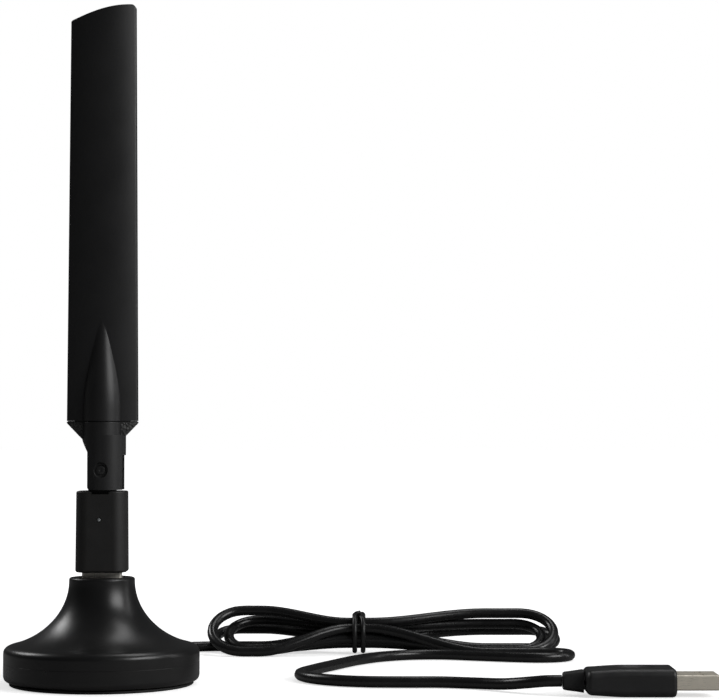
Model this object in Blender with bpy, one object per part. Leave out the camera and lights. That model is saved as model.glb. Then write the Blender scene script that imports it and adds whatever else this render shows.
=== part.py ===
"""USB wireless adapter: paddle antenna and adapter plugged into a weighted round base with a cable.

Frame: origin at the centre of the base's underside, +X to the right, +Y to the back, +Z up.
All dimensions below are in millimetres; meshes are made in metres.
"""

import math

import bmesh
import bpy
import numpy as np
from mathutils import Matrix, Vector

MM = 0.001
GAP = 0.3                       # clearance kept between neighbouring pieces

# Base
BASE_RADIUS = 30.0
FOOT_RADIUS = 28.2
FOOT_HEIGHT = 0.9
COVER_BOTTOM = 1.2
NECK_TOP = 32.7
NECK_RADIUS = 10.1
PLATE_RADIUS = 27.2
PLATE_BOTTOM = 1.3
PLATE_TOP = 3.3
BOSS_CIRCLE = 24.6
BOSS_ANGLES = (30.0, 150.0, 270.0)
WEIGHT_RADIUS = 19.0
WEIGHT_TOP = 8.0
RELIEF_HEIGHT = 6.5             # height of the cable outlet's axis
RELIEF_END = 40.0

# USB-A shell sizes shared by both plugs
SHELL_WIDTH = 12.0
SHELL_THICKNESS = 4.5
SHELL_WALL = 0.3
PLUG_LENGTH = 18.2
CONTACT_PLACES = (-3.5, -1.0, 1.0, 3.5)
CONTACT_WIDTH = 1.0

# Socket in the base's neck
SOCKET_WIDTH = 13.2
SOCKET_DEPTH = 5.8
SOCKET_WALL = 0.35
SOCKET_BOTTOM = 18.3
SOCKET_TOP = 32.4

# Adapter
ADAPTER_BOTTOM = 34.35
ADAPTER_TOP = 59.2
ADAPTER_HALF_FOOT = 7.95        # half width at the bottom
ADAPTER_HALF_HEAD = 7.7         # half width at the top
ADAPTER_HALF_DEPTH = 6.5
ADAPTER_CORNER = 4.0
ADAPTER_WALL = 1.2
DISH_RADIUS = 7.0
DISH_FLOOR = 58.3
PLUG_TIP = 22.3                 # height of the adapter plug's tip
LED_PLACE = (-0.3, 50.5)

# Antenna joint
TILT_HEIGHT = 65.7
NECK_POST = 6.15                # radius of the round neck under the paddle
FORK_BOTTOM = 59.6
FORK_FLAT = -4.2
FORK_RIGHT = 7.2                # the fork's ears are oval and stand out to this side
EAR_TOP = 76.4
SLOT_HALF = 2.8
SLOT_TOP = 70.2
TONGUE_HALF = 2.5
TONGUE_RADIUS = 4.1
PIN_RADIUS = 1.45
COAX_RADIUS = 0.5
COAX_BREAK = 0.6                # distance from the hinge axis at which each coax piece ends

# Paddle
SEAM = 80.6
PADDLE_HALF_FOOT = 11.0
PADDLE_HALF_HEAD = 10.1
PADDLE_TOP_LEFT = 204.8
PADDLE_TOP_RIGHT = 209.8
EDGE_THICKNESS = 0.9            # half thickness at the paddle's edges
MIDDLE_THICKNESS = 3.0          # half thickness along the middle
OGIVE_RADIUS = 6.2
OGIVE_TIP = 2.9
OGIVE_RISE = (4.0, 34.0)        # heights above the seam between which the ogive narrows

# Cable
CORD_RADIUS = 1.75
CORD_REST = 1.85                # height of the cord's middle where it lies down
HANK_LEFT = 28.0
HANK_RIGHT = 141.0
HANK_MIDDLE = 92.5              # Y of the hank's centre line
HANK_HALF_WIDTH = 18.5
HANK_HALF_HEIGHT = 8.2
HANK_WAIST = 5.6
TIE_PLACE = 79.0
TIE_WIDTH = 6.0
TIE_BAND = 0.9
PLUG_AXIS = (-29.5, 4.25)       # Y and Z of the cable plug's axis
PLUG_RELIEF_START = 139.0
PLUG_BODY_START = 145.3
PLUG_BODY_END = 171.8
PLUG_BODY_HALF_WIDTH = 8.0
PLUG_BODY_HALF_HEIGHT = 4.15
CABLE_PLUG_TIP = 184.3

LEAD_ROUTE = (
    (0.0, RELIEF_END + GAP, RELIEF_HEIGHT),
    (0.0, 46.0, 6.4),
    (0.1, 54.0, 5.2),
    (0.7, 63.0, 3.2),
    (2.2, 72.0, CORD_REST),
    (5.2, 81.0, CORD_REST),
    (10.5, 89.0, CORD_REST),
    (18.0, 94.4, CORD_REST),
    (HANK_LEFT - GAP, 96.0, CORD_REST),
)
TAIL_ROUTE = (
    (HANK_RIGHT + GAP, 89.0, CORD_REST),
    (145.8, 88.7, CORD_REST),
    (149.4, 85.0, CORD_REST),
    (150.7, 77.5, CORD_REST),
    (149.8, 69.0, CORD_REST),
    (146.0, 62.6, CORD_REST),
    (139.5, 60.0, CORD_REST),
    (131.0, 61.8, CORD_REST),
    (119.0, 66.0, CORD_REST),
    (107.0, 70.2, CORD_REST),
    (96.0, 69.0, CORD_REST),
    (86.5, 63.0, CORD_REST),
    (78.5, 52.5, CORD_REST),
    (70.9, 37.1, CORD_REST),
    (64.2, 22.0, CORD_REST),
    (60.6, 10.5, CORD_REST),
    (63.5, 1.0, CORD_REST),
    (71.0, -6.5, CORD_REST),
    (81.0, -10.5, CORD_REST),
    (92.0, -11.4, CORD_REST),
    (104.0, -11.6, CORD_REST),
    (114.0, -14.5, CORD_REST),
    (122.5, -20.5, 2.3),
    (129.0, -26.3, 3.4),
    (134.0, -29.2, 4.15),
    (PLUG_RELIEF_START - GAP, PLUG_AXIS[0], PLUG_AXIS[1]),
)


# ---------------------------------------------------------------- materials

def make_material(name, colour, roughness, metallic=0.0):
    material = bpy.data.materials.new(name)
    material.use_nodes = True
    shader = material.node_tree.nodes["Principled BSDF"]
    shader.inputs["Base Color"].default_value = (*colour, 1.0)
    shader.inputs["Roughness"].default_value = roughness
    shader.inputs["Metallic"].default_value = metallic
    return material


# ---------------------------------------------------------------- shape tools

def new_object(name, bm, material, place=None):
    """Turn a bmesh in millimetres into an object in metres with its faces pointing out."""
    bmesh.ops.recalc_face_normals(bm, faces=bm.faces)
    bmesh.ops.scale(bm, vec=(MM, MM, MM), verts=bm.verts)
    mesh = bpy.data.meshes.new(name)
    bm.to_mesh(mesh)
    bm.free()
    mesh.shade_smooth()
    mesh.set_sharp_from_angle(angle=math.radians(35.0))
    obj = bpy.data.objects.new(name, mesh)
    if material:
        mesh.materials.append(material)
    if place is not None:
        obj.matrix_world = place
    bpy.context.collection.objects.link(obj)
    return obj


def loft(rings, closed=False):
    """Skin a row of rings with equal numbers of points; the ends are capped unless closed."""
    bm = bmesh.new()
    rows = [[bm.verts.new(point) for point in ring] for ring in rings]
    count = len(rows[0])
    pairs = list(zip(rows, rows[1:]))
    if closed:
        pairs.append((rows[-1], rows[0]))
    for low, high in pairs:
        for i in range(count):
            j = (i + 1) % count
            bm.faces.new((low[i], low[j], high[j], high[i]))
    if not closed:
        bm.faces.new(rows[0])
        bm.faces.new(rows[-1])
    return bm


def turned(profile, segments=48, axis="Z", centre=(0.0, 0.0, 0.0)):
    """Turn (radius, height) points about an axis through centre.

    A profile that starts and ends on the axis gives a solid; any other is closed into a ring.
    """
    bm = bmesh.new()
    solid = profile[0][0] == 0.0
    rows = []
    for radius, height in profile:
        if radius == 0.0:
            rows.append([bm.verts.new((0.0, 0.0, height))])
            continue
        row = []
        for i in range(segments):
            angle = 2.0 * math.pi * i / segments
            row.append(bm.verts.new((radius * math.cos(angle), radius * math.sin(angle), height)))
        rows.append(row)
    pairs = list(zip(rows, rows[1:]))
    if not solid:
        pairs.append((rows[-1], rows[0]))
    for low, high in pairs:
        for i in range(segments):
            j = (i + 1) % segments
            corners = [low[i % len(low)], low[j % len(low)], high[j % len(high)], high[i % len(high)]]
            bm.faces.new(list(dict.fromkeys(corners)))
    turns = {"Z": Matrix.Identity(3),
             "Y": Matrix.Rotation(-math.pi / 2, 3, "X"),
             "X": Matrix.Rotation(math.pi / 2, 3, "Y")}
    bmesh.ops.rotate(bm, matrix=turns[axis], verts=bm.verts)
    bmesh.ops.translate(bm, vec=centre, verts=bm.verts)
    return bm


def box(x_range, y_range, z_range):
    corners = [(x_range[0], y_range[0]), (x_range[1], y_range[0]),
               (x_range[1], y_range[1]), (x_range[0], y_range[1])]
    return loft([[(x, y, z) for x, y in corners] for z in z_range])


def rod(radius, low, high, axis="Z", centre=(0.0, 0.0, 0.0), segments=24):
    return turned([(0.0, low), (radius, low), (radius, high), (0.0, high)], segments, axis, centre)


def rounded_rectangle(half_x, half_y, radius, steps=5):
    """Outline points, counter-clockwise, with each corner as an arc."""
    points = []
    for corner in range(4):
        sign_x = 1 if corner in (0, 3) else -1
        sign_y = 1 if corner in (0, 1) else -1
        for i in range(steps + 1):
            angle = (corner + i / steps) * math.pi / 2
            points.append((sign_x * (half_x - radius) + radius * math.cos(angle),
                           sign_y * (half_y - radius) + radius * math.sin(angle)))
    return points


def sleeve(outer, inner, low, high):
    """A straight tube between two outlines with equal numbers of points."""
    rings = [[(x, y, low) for x, y in outer], [(x, y, high) for x, y in outer],
             [(x, y, high) for x, y in inner], [(x, y, low) for x, y in inner]]
    return loft(rings, closed=True)


def arc(centre, radius, start, end, steps):
    """Points on an arc; angles in degrees."""
    points = []
    for i in range(steps + 1):
        angle = math.radians(start + (end - start) * i / steps)
        points.append((centre[0] + radius * math.cos(angle), centre[1] + radius * math.sin(angle)))
    return points


def bezier(p0, p1, p2, p3, steps):
    points = []
    for i in range(steps + 1):
        t = i / steps
        weights = ((1 - t) ** 3, 3 * t * (1 - t) ** 2, 3 * t * t * (1 - t), t ** 3)
        points.append(tuple(sum(w * p[k] for w, p in zip(weights, (p0, p1, p2, p3))) for k in (0, 1)))
    return points


def boolean(obj, bm, operation="DIFFERENCE"):
    """Cut, join or intersect obj with a hidden tool made from bm."""
    tool = new_object(f"tool_{obj.name}_{len(obj.modifiers)}", bm, None)
    tool.hide_render = True
    tool.display_type = "WIRE"
    modifier = obj.modifiers.new(operation.lower(), "BOOLEAN")
    modifier.operation = operation
    modifier.solver = "EXACT"
    modifier.object = tool


def smooth_step(value, low, high):
    t = min(max((value - low) / (high - low), 0.0), 1.0)
    return t * t * (3.0 - 2.0 * t)


def smooth_route(points, spacing):
    """Evenly spaced points on a Catmull-Rom curve through the given points."""
    points = np.array(points)
    ends = np.vstack([2 * points[0] - points[1], points, 2 * points[-1] - points[-2]])
    dense = []
    for i in range(len(points) - 1):
        a, b, c, d = ends[i:i + 4]
        for t in np.linspace(0.0, 1.0, 40, endpoint=False):
            dense.append(0.5 * (2 * b + (c - a) * t + (2 * a - 5 * b + 4 * c - d) * t ** 2
                                + (3 * b - a - 3 * c + d) * t ** 3))
    dense = np.array(dense + [points[-1]])
    travelled = np.concatenate([[0.0], np.cumsum(np.linalg.norm(np.diff(dense, axis=0), axis=1))])
    wanted = np.linspace(0.0, travelled[-1], max(2, round(travelled[-1] / spacing) + 1))
    return np.column_stack([np.interp(wanted, travelled, dense[:, k]) for k in range(3)])


def tube(name, route, radius, spacing, material):
    """A round cable along a route, with closed ends."""
    curve = bpy.data.curves.new(name, "CURVE")
    curve.dimensions = "3D"
    curve.bevel_depth = radius * MM
    curve.bevel_resolution = 2
    curve.use_fill_caps = True
    points = smooth_route(route, spacing)
    spline = curve.splines.new("POLY")
    spline.points.add(len(points) - 1)
    for target, point in zip(spline.points, points):
        target.co = (*(point * MM), 1.0)
    curve.materials.append(material)
    obj = bpy.data.objects.new(name, curve)
    bpy.context.collection.objects.link(obj)
    return obj


def adopt(empty, pieces):
    """Parent pieces to an empty without moving them."""
    for piece in pieces:
        piece.parent = empty
        piece.matrix_parent_inverse = empty.matrix_world.inverted()


def make_axis(name, height, parent=None):
    empty = bpy.data.objects.new(name, None)
    empty.empty_display_size = 0.01
    empty.matrix_world = Matrix.Translation((0.0, 0.0, height * MM))
    bpy.context.collection.objects.link(empty)
    if parent:
        adopt(parent, [empty])
    return empty


# ---------------------------------------------------------------- base

def boss_places():
    for angle in BOSS_ANGLES:
        yield (BOSS_CIRCLE * math.cos(math.radians(angle)),
               BOSS_CIRCLE * math.sin(math.radians(angle)), 0.0)


def base_cover(plastic):
    """Bell-shaped cover: round neck with the socket's opening, flared skirt and short side wall."""
    rim = NECK_TOP - 0.7
    shoulder = (27.5, 12.2)
    wall_top = BASE_RADIUS, 9.7
    outer = [(0.0, NECK_TOP)]
    outer += arc((NECK_RADIUS - 0.7, rim), 0.7, 90.0, 0.0, 2)
    outer += bezier((NECK_RADIUS, 31.4), (10.3, 22.0), (18.0, 14.5), shoulder, 9)
    outer += bezier(shoulder, (29.2, 11.8), (BASE_RADIUS, 11.0), wall_top, 3)[1:]
    outer += bezier((BASE_RADIUS, 3.2), (BASE_RADIUS, 2.1), (29.6, 1.4), (28.6, COVER_BOTTOM), 3)
    inner = [(PLATE_RADIUS + GAP, COVER_BOTTOM), (PLATE_RADIUS + GAP, 3.6), (28.0, 4.0), (28.0, 9.2)]
    inner += bezier((26.6, 10.3), (16.6, 12.7), (8.3, 21.2), (8.1, 29.5), 5)
    inner += [(8.1, 30.7), (0.0, 30.7)]
    cover = new_object("base_cover", turned(outer + inner, 48), plastic)
    for place in boss_places():
        boolean(cover, rod(2.3, PLATE_TOP + GAP, 11.4, centre=place, segments=12), "UNION")
    for place in boss_places():
        boolean(cover, rod(1.3, 2.0, 9.0, centre=place, segments=10))
    opening = rounded_rectangle(SOCKET_WIDTH / 2 + GAP, SOCKET_DEPTH / 2 + GAP, 0.8, 3)
    boolean(cover, loft([[(x, y, z) for x, y in opening] for z in (29.0, NECK_TOP + 1.0)]))
    boolean(cover, rod(2.7, 24.0, BASE_RADIUS + 2.0, "Y", (0.0, 0.0, RELIEF_HEIGHT)))
    return cover


def base_plate(steel):
    plate = new_object("base_plate", rod(PLATE_RADIUS, PLATE_BOTTOM, PLATE_TOP, segments=40), steel)
    for place in boss_places():
        boolean(plate, rod(1.3, 0.0, 5.0, centre=place, segments=10))
        boolean(plate, rod(2.4, 0.0, PLATE_BOTTOM + 1.0, centre=place, segments=12))
    return plate


def plate_screws(steel):
    head_bottom = PLATE_BOTTOM + 0.1
    head_top = PLATE_BOTTOM + 0.7
    profile = [(0.0, head_bottom), (1.9, head_bottom), (2.1, head_bottom + 0.2), (2.1, head_top),
               (1.0, head_top), (1.0, 7.6), (0.6, 8.2), (0.0, 8.2)]
    return [new_object(f"plate_screw_{number}", turned(profile, 10, centre=place), steel)
            for number, place in enumerate(boss_places(), 1)]


def base_weight(steel):
    low = PLATE_TOP + GAP
    profile = [(0.0, low), (WEIGHT_RADIUS - 0.5, low), (WEIGHT_RADIUS, low + 0.5),
               (WEIGHT_RADIUS, WEIGHT_TOP - 0.5), (WEIGHT_RADIUS - 0.5, WEIGHT_TOP), (0.0, WEIGHT_TOP)]
    return new_object("base_weight", turned(profile, 32), steel)


def foot_pad(rubber):
    return new_object("foot_pad", rod(FOOT_RADIUS, 0.0, FOOT_HEIGHT, segments=48), rubber)


def socket(steel, plastic, gold, board_green):
    """USB-A receptacle standing in the neck on its small board."""
    outer = rounded_rectangle(SOCKET_WIDTH / 2, SOCKET_DEPTH / 2, 0.7, 3)
    inner = rounded_rectangle(SOCKET_WIDTH / 2 - SOCKET_WALL, SOCKET_DEPTH / 2 - SOCKET_WALL, 0.35, 3)
    pieces = [
        new_object("socket_shell", sleeve(outer, inner, SOCKET_BOTTOM, SOCKET_TOP), steel),
        new_object("socket_tongue", box((-5.4, 5.4), (-1.65, -0.5), (SOCKET_BOTTOM, 30.4)), plastic),
        new_object("socket_board", box((-8.0, 8.0), (-5.0, 5.0), (17.0, 18.0)), board_green),
    ]
    for number, place in enumerate(CONTACT_PLACES, 1):
        half = CONTACT_WIDTH / 2
        strip = box((place - half, place + half), (-0.23, -0.08), (SOCKET_BOTTOM + 0.7, 29.6))
        pieces.append(new_object(f"socket_contact_{number}", strip, gold))
    return pieces


def base_strain_relief(rubber):
    """Sleeve gripped by the wall's edge, with rings round its tapering outer end."""
    profile = [(0.0, 25.4), (2.9, 25.4), (2.9, 27.0), (2.35, 27.0), (2.35, BASE_RADIUS + GAP)]
    rings = 3
    first, pitch = BASE_RADIUS + GAP, 2.7
    for number in range(rings):
        start = first + pitch * number
        radius = 3.7 - 0.35 * number
        profile += [(radius, start), (radius - 0.1, start + 1.8), (radius - 0.8, start + 1.9)]
        profile += [(radius - 0.85, start + pitch - 0.1)]
    profile += [(2.6, first + pitch * rings), (2.4, RELIEF_END), (0.0, RELIEF_END)]
    bm = turned(profile, 14, "Y", (0.0, 0.0, RELIEF_HEIGHT))
    return new_object("base_strain_relief", bm, rubber)


def inner_lead(rubber):
    route = [(0.0, 25.0, RELIEF_HEIGHT), (0.0, 23.4, 6.6), (0.0, 21.2, 8.3), (0.0, 18.2, 10.2),
             (0.0, 13.0, 10.9), (0.0, 8.0, 12.0), (0.0, 5.0, 14.2), (0.0, 4.4, 16.6)]
    return tube("inner_lead", route, 1.2, 2.6, rubber)


# ---------------------------------------------------------------- USB-A plug, shared

def usb_plug(prefix, place, steel, plastic, gold):
    """Metal shell, tongue and four contacts. Local z runs from the tip at 0 into the body."""
    half_x = SHELL_WIDTH / 2
    half_y = SHELL_THICKNESS / 2
    outer = rounded_rectangle(half_x, half_y, 0.6, 3)
    inner = rounded_rectangle(half_x - SHELL_WALL, half_y - SHELL_WALL, 0.3, 3)
    shell = new_object(f"{prefix}_shell", sleeve(outer, inner, 0.0, PLUG_LENGTH), steel, place)
    for side in (-1, 1):
        near, far = sorted((side * 1.6, side * 4.1))
        window = box((near, far), (-4.0, 4.0), (4.2, 6.2))
        bmesh.ops.transform(window, matrix=millimetres(place), verts=window.verts)
        boolean(shell, window)
    tongue = box((-5.4, 5.4), (0.5, 1.65), (0.4, PLUG_LENGTH - 0.4))
    pieces = [shell, new_object(f"{prefix}_tongue", tongue, plastic, place)]
    for number, middle in enumerate(CONTACT_PLACES, 1):
        half = CONTACT_WIDTH / 2
        strip = box((middle - half, middle + half), (0.08, 0.23), (1.4, 10.0))
        pieces.append(new_object(f"{prefix}_contact_{number}", strip, gold, place))
    return pieces


def millimetres(place):
    """The same placement, for meshes that are still in millimetres."""
    return Matrix.Translation(place.translation / MM) @ place.to_3x3().to_4x4()


# ---------------------------------------------------------------- adapter

def adapter_half_width(height):
    share = (height - ADAPTER_BOTTOM) / (ADAPTER_TOP - ADAPTER_BOTTOM)
    return ADAPTER_HALF_FOOT + (ADAPTER_HALF_HEAD - ADAPTER_HALF_FOOT) * share


def adapter_ring(height, inset):
    outline = rounded_rectangle(adapter_half_width(height) - inset, ADAPTER_HALF_DEPTH - inset,
                                ADAPTER_CORNER - inset, 4)
    return [(x, y, height) for x, y in outline]


def adapter_body():
    """Solid outer form with softened top and bottom edges."""
    steps = ((0.0, 0.8), (0.25, 0.25), (0.8, 0.0))
    rings = [adapter_ring(ADAPTER_BOTTOM + rise, inset) for rise, inset in steps]
    rings += [adapter_ring(ADAPTER_TOP - fall, inset) for fall, inset in ((0.5, 0.0), (0.15, 0.15), (0.0, 0.5))]
    return loft(rings)


def adapter_shell(name, side, plastic):
    """One moulded half; side is -1 for the front and 1 for the back."""
    shell = new_object(name, adapter_body(), plastic)
    cavity = [adapter_ring(height, ADAPTER_WALL) for height in (ADAPTER_BOTTOM + ADAPTER_WALL, 52.8)]
    boolean(shell, loft(cavity))
    bearing = [(0.0, 51.0), (1.0, 51.0), (1.0, 54.3), (5.5, 54.3), (5.5, 56.7), (4.4, 56.7),
               (4.4, DISH_FLOOR), (DISH_RADIUS, DISH_FLOOR), (DISH_RADIUS, 61.0), (0.0, 61.0)]
    boolean(shell, turned(bearing, 32))
    boolean(shell, box((-6.3, 6.3), (-2.55, 2.55), (33.0, 37.0)))
    if side < 0:
        boolean(shell, rod(0.85, -9.0, -4.0, "Y", (LED_PLACE[0], 0.0, LED_PLACE[1]), 12))
    half = GAP / 2
    other_half = (-half, 12.0) if side < 0 else (-12.0, half)
    boolean(shell, box((-12.0, 12.0), other_half, (30.0, 65.0)))
    return shell


def adapter_insides(board_green, steel, chip_black, clear):
    led_profile = [(0.0, -6.45), (0.3, -6.45), (0.55, -6.3), (0.55, -4.2), (0.0, -4.2)]
    led_centre = (LED_PLACE[0], 0.0, LED_PLACE[1])
    return [
        new_object("adapter_board", box((-6.2, 6.2), (2.55, 3.35), (36.4, 52.4)), board_green),
        new_object("shield_can", box((-4.8, 4.8), (0.9, 2.25), (41.2, 51.2)), steel),
        new_object("chip", box((-2.5, 2.5), (3.65, 4.65), (44.0, 49.0)), chip_black),
        new_object("led_lens", turned(led_profile, 10, "Y", led_centre), clear),
    ]


# ---------------------------------------------------------------- swivel knuckle

def swivel_knuckle(plastic):
    """Captive flange and post with the upright tongue that the fork turns about."""
    post = [(0.0, 54.6), (5.2, 54.6), (5.2, 56.4), (TONGUE_RADIUS, 56.4), (TONGUE_RADIUS, 59.4),
            (0.0, 59.4)]
    knuckle = new_object("swivel_knuckle", turned(post, 28), plastic)
    side = [(-TONGUE_RADIUS, 59.0), (TONGUE_RADIUS, 59.0)]
    side += arc((0.0, TILT_HEIGHT), TONGUE_RADIUS, 0.0, 180.0, 10)
    tongue = loft([[(x, y, z) for x, z in side] for y in (-TONGUE_HALF, TONGUE_HALF)])
    boolean(knuckle, tongue, "UNION")
    for near, far in ((-9.0, -TONGUE_HALF), (TONGUE_HALF, 9.0)):
        boolean(knuckle, box((-9.0, 9.0), (near, far), (DISH_FLOOR - 0.1, 64.0)))
    boolean(knuckle, rod(PIN_RADIUS + GAP, -6.0, 6.0, "Y", (0.0, 0.0, TILT_HEIGHT), 16))
    boolean(knuckle, box((-7.0, 1.2), (-1.3, 1.3), (60.6, 72.0)))
    boolean(knuckle, rod(0.9, 50.0, 61.5, segments=10))
    return knuckle


def coax_lower(rubber):
    return new_object("coax_lower", rod(COAX_RADIUS, 51.9, TILT_HEIGHT - COAX_BREAK, segments=8), rubber)


# ---------------------------------------------------------------- paddle

def lens_half_thickness(share):
    """Half thickness of the paddle at a share of its half width."""
    return EDGE_THICKNESS + (MIDDLE_THICKNESS - EDGE_THICKNESS) * (1.0 - share * share)


def paddle_half_width(height):
    share = (height - SEAM) / (PADDLE_TOP_RIGHT - SEAM)
    return PADDLE_HALF_FOOT + (PADDLE_HALF_HEAD - PADDLE_HALF_FOOT) * share


def lens_slab(bottom, top, limit, inset, columns):
    """Upright slab with the paddle's lens section; bottom and top give heights at a share."""
    rings = []
    for i in range(columns + 1):
        share = limit * (2.0 * i / columns - 1.0)
        low, high = bottom(share), top(share)
        thick = lens_half_thickness(share) - inset
        x_low, x_high = share * paddle_half_width(low), share * paddle_half_width(high)
        rings.append([(x_low, -thick, low), (x_high, -thick, high),
                      (x_high, thick, high), (x_low, thick, low)])
    return loft(rings)


def paddle_top(share):
    """Height of the slanted, slightly bowed upper end, with a small radius at the taller corner."""
    across = (share + 1.0) / 2.0
    slope = PADDLE_TOP_LEFT + (PADDLE_TOP_RIGHT - PADDLE_TOP_LEFT) * math.sin(across * math.pi / 2)
    return slope - 0.9 * max(0.0, (share - 0.9) / 0.1) ** 2


def ogive_profile(inset, bottom, top):
    """Turned rise that carries the neck's roundness up into the flat paddle."""
    points = [(0.0, bottom)]
    steps = 9
    for i in range(steps + 1):
        height = bottom + (top - bottom) * i / steps
        fall = smooth_step(height - SEAM, *OGIVE_RISE)
        points.append((OGIVE_RADIUS - (OGIVE_RADIUS - OGIVE_TIP) * fall - inset, height))
    return points + [(0.0, top)]


def paddle_cover(plastic):
    """Hollow blade, open at the bottom where the cap plugs in."""
    wall = 1.0
    blade = lens_slab(lambda share: SEAM, paddle_top, 1.0, 0.0, 18)
    cover = new_object("paddle_cover", blade, plastic)
    boolean(cover, turned(ogive_profile(0.0, SEAM, SEAM + OGIVE_RISE[1]), 32), "UNION")
    hollow = lens_slab(lambda share: SEAM - 3.0, lambda share: paddle_top(share) - 1.6, 0.87, wall, 12)
    boolean(cover, hollow)
    boolean(cover, turned(ogive_profile(wall, SEAM - 2.0, SEAM + OGIVE_RISE[1] - 4.0), 20))
    return cover


def paddle_cap(plastic):
    """Round forked neck with wings that close the blade's lower end."""
    cap_top = SEAM - GAP
    wing_foot = cap_top - 0.4
    fork = new_object("paddle_cap", rod(NECK_POST, FORK_BOTTOM - 1.0, cap_top, segments=36), plastic)
    ears = rod(NECK_POST, FORK_BOTTOM - 1.0, EAR_TOP, segments=36)
    ear_half = FORK_RIGHT - 0.5
    bmesh.ops.scale(ears, vec=(ear_half / NECK_POST, 1.0, 1.0), verts=ears.verts)
    bmesh.ops.translate(ears, vec=(FORK_RIGHT - ear_half, 0.0, 0.0), verts=ears.verts)
    boolean(fork, ears, "UNION")
    side = [(FORK_FLAT, 71.2)]
    side += arc((FORK_FLAT + 0.9, FORK_BOTTOM + 0.9), 0.9, 180.0, 270.0, 4)
    side += arc((FORK_RIGHT - 0.8, FORK_BOTTOM + 1.0), 1.0, 270.0, 350.0, 4)
    side += [(FORK_RIGHT + 1.0, FORK_BOTTOM + 1.6), (FORK_RIGHT + 1.0, 84.0), (-8.0, 84.0), (-8.0, 78.4)]
    boolean(fork, loft([[(x, y, z) for x, z in side] for y in (-9.0, 9.0)]), "INTERSECT")

    def wing_bottom(share):
        reach = abs(share) * PADDLE_HALF_FOOT
        return max(wing_foot - (PADDLE_HALF_FOOT - reach), 74.4)

    boolean(fork, lens_slab(wing_bottom, lambda share: cap_top - 0.02, 1.0, 0.0, 18), "UNION")
    spigot_top = SEAM + 3.0
    boolean(fork, lens_slab(lambda share: cap_top - 2.0, lambda share: spigot_top, 0.79, 1.0 + GAP, 8),
            "UNION")
    boolean(fork, rod(OGIVE_RADIUS - 1.0 - GAP, cap_top - 2.4, spigot_top - 0.5, segments=24), "UNION")
    boolean(fork, box((-9.0, 9.0), (-SLOT_HALF, SLOT_HALF), (FORK_BOTTOM - 3.0, SLOT_TOP)))
    bore, recess, recess_floor = PIN_RADIUS + GAP, 2.1, 5.55
    pin_hole = [(0.0, -8.0), (recess, -8.0), (recess, -recess_floor), (bore, -recess_floor),
                (bore, recess_floor), (recess, recess_floor), (recess, 8.0), (0.0, 8.0)]
    boolean(fork, turned(pin_hole, 18, "Y", (0.0, 0.0, TILT_HEIGHT)))
    channel = [(0.0, 68.0), (0.9, 68.0), (0.9, 75.0), (2.3, 76.5), (2.3, 86.0), (0.0, 86.0)]
    boolean(fork, turned(channel, 12))
    return fork


def antenna_board(board_green):
    return new_object("antenna_board", box((-8.0, 8.0), (-0.4, 0.4), (84.2, 198.0)), board_green)


def radiator(name, outline, copper):
    """Flat copper arm on the board's front face."""
    return new_object(name, loft([[(x, y, z) for x, z in outline] for y in (-0.9, -0.7)]), copper)


def radiators(copper):
    """Upper strip and lower fork of the dipole, with the feed gap between them."""
    feed = 141.0
    upper = [(-1.5, feed + 1.0), (1.5, feed + 1.0), (1.5, 180.0), (5.0, 184.0), (5.0, 195.0),
             (-5.0, 195.0), (-5.0, 184.0), (-1.5, 180.0)]
    lower = [(-5.5, 90.0), (-2.5, 90.0), (-2.5, feed - 5.0), (2.5, feed - 5.0), (2.5, 90.0),
             (5.5, 90.0), (5.5, feed - 1.0), (-5.5, feed - 1.0)]
    return [radiator("radiator_upper", upper, copper), radiator("radiator_lower", lower, copper)]


def hinge_pins(plastic):
    """Two stub pins, one through each ear of the fork, leaving the middle free for the coax."""
    pins = []
    for name, side in (("hinge_pin_front", -1.0), ("hinge_pin_back", 1.0)):
        profile = [(0.0, 1.6), (PIN_RADIUS - 0.2, 1.6), (PIN_RADIUS, 1.8), (PIN_RADIUS, 5.4),
                   (PIN_RADIUS - 0.2, 5.6), (0.0, 5.6)]
        turned_pin = turned([(radius, side * height) for radius, height in profile], 14, "Y",
                            (0.0, 0.0, TILT_HEIGHT))
        pins.append(new_object(name, turned_pin, plastic))
    return pins


def coax_upper(rubber):
    route = [(0.0, 0.0, TILT_HEIGHT + COAX_BREAK), (0.0, 0.0, 71.0), (0.0, 0.05, 76.0), (0.0, 0.45, 79.0),
             (0.0, 1.05, 82.0), (0.0, 1.2, 85.0), (0.0, 1.2, 100.0), (0.0, 1.2, 120.0), (0.0, 1.2, 139.0)]
    return tube("coax_upper", route, COAX_RADIUS, 5.0, rubber)


# ---------------------------------------------------------------- cable

def hank_section(x):
    """Half width, half height and underside height of the tied hank at x."""
    tip = HANK_LEFT - 1.0 if x < TIE_PLACE else HANK_RIGHT + 1.0
    share = abs((x - TIE_PLACE) / (tip - TIE_PLACE))
    swell = smooth_step(share, 0.09, 0.5)
    closing = math.sqrt(max(0.0, 1.0 - share ** 6))
    half_width = closing * (HANK_WAIST + (HANK_HALF_WIDTH - HANK_WAIST) * swell)
    half_height = closing * (HANK_WAIST + (HANK_HALF_HEIGHT - HANK_WAIST) * swell)
    underside = 0.1 + 1.4 * (1.0 - swell)
    return half_width, half_height, underside


def cord_hank(rubber):
    """Outer form of the folded cable, drawn in at the tie."""
    stations = np.concatenate([np.linspace(HANK_LEFT, TIE_PLACE - 4.5, 8),
                               np.linspace(TIE_PLACE + 4.5, HANK_RIGHT, 9)])
    rings = []
    for x in stations:
        half_width, half_height, underside = hank_section(x)
        ring = []
        for i in range(14):
            angle = 2.0 * math.pi * i / 14
            ring.append((x, HANK_MIDDLE + half_width * math.cos(angle),
                         underside + half_height * (1.0 + math.sin(angle))))
        rings.append(ring)
    return new_object("cord_hank", loft(rings), rubber)


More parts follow.
